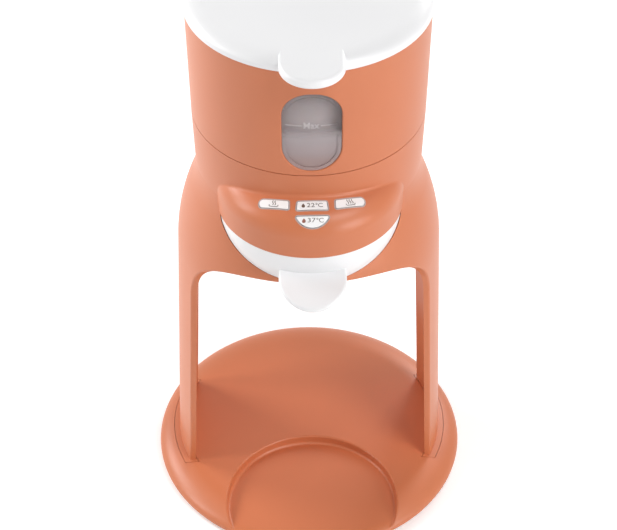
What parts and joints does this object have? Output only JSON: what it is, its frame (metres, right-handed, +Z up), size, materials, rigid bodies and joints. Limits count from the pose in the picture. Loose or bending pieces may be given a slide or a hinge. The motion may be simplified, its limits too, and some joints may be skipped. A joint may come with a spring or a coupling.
{
  "type": "baby formula maker",
  "caption": "Counter-top baby formula maker: round tank and control hood on two crescent legs over a round base with a bottle recess, pull-out mixing drawer and lift-off lid.",
  "frame": {"origin": "centre of the round base on the table", "axes": "+Z up, +Y to the back, controls and drawer face -Y"},
  "size_m": [0.1699, 0.17, 0.3046],
  "materials": {
    "shell_orange": "satin",
    "white_plastic": "satin",
    "button_white": "satin",
    "button_trim": "satin",
    "smoky_window": "satin",
    "tank_plastic": "satin",
    "inner_plastic": "matte",
    "rubber": "matte",
    "silicone": "matte",
    "steel": "brushed",
    "screw_steel": "satin",
    "circuit_board": "satin",
    "components": "satin",
    "pump_body": "satin",
    "bright_steel": "polished"
  },
  "bodies": {
    "appliance": {"base_plate": "shell_orange", "base_bottom_cover": "shell_orange", "rubber_feet": "rubber", "base_screws": "screw_steel", "leg_screws": "screw_steel", "leg_housing": "shell_orange", "floor_plate": "shell_orange", "floor_screws": "screw_steel", "spout": "inner_plastic", "chassis_plate": "inner_plastic", "control_housing": "shell_orange", "button_surrounds": "button_trim", "hood_floor": "inner_plastic", "button_board": "circuit_board", "tact_switches": "components", "drawer_rails": "inner_plastic", "tank_sleeve": "shell_orange", "window_pane": "smoky_window", "water_tank": "tank_plastic", "tank_outlet_seal": "silicone", "tank_seat": "inner_plastic", "shower_head": "inner_plastic", "boiler": "steel", "thermostat": "components", "temperature_probe": "bright_steel", "pump": "pump_body", "pump_cradle": "rubber", "inlet_hose": "silicone", "feed_hose": "silicone", "outlet_hose": "silicone", "power_board": "circuit_board", "board_components": "components", "power_inlet": "components"},
    "lid": {"lid": "white_plastic", "lid_seal": "silicone"},
    "drawer": {"drawer_front": "white_plastic", "drawer_tray": "white_plastic"},
    "left_button": {"button_left": "button_white"},
    "centre_button": {"button_centre": "button_white"},
    "right_button": {"button_right": "button_white"},
    "lower_button": {"button_lower": "button_white"}
  },
  "joints": [
    {"name": "lid_lift", "type": "slide", "parent": "appliance", "child": "lid", "axis": [0, 0, 1], "range_m": [0, 0.06]},
    {"name": "drawer_slide", "type": "slide", "parent": "appliance", "child": "drawer", "axis": [0, -1, 0], "range_m": [0, 0.04]},
    {"name": "left_button_press", "type": "slide", "parent": "appliance", "child": "left_button", "axis": [0.1952, 0.3568, -0.9135], "range_m": [0, 0.0005], "stiffness_N_per_m": 1500, "springref_m": -0.0002},
    {"name": "centre_button_press", "type": "slide", "parent": "appliance", "child": "centre_button", "axis": [0, 0.4067, -0.9135], "range_m": [0, 0.0005], "stiffness_N_per_m": 1500, "springref_m": -0.0002},
    {"name": "right_button_press", "type": "slide", "parent": "appliance", "child": "right_button", "axis": [-0.1952, 0.3568, -0.9135], "range_m": [0, 0.0005], "stiffness_N_per_m": 1500, "springref_m": -0.0002},
    {"name": "lower_button_press", "type": "slide", "parent": "appliance", "child": "lower_button", "axis": [0, 0.7193, -0.6947], "range_m": [0, 0.0005], "stiffness_N_per_m": 1500, "springref_m": -0.0002}
  ]
}
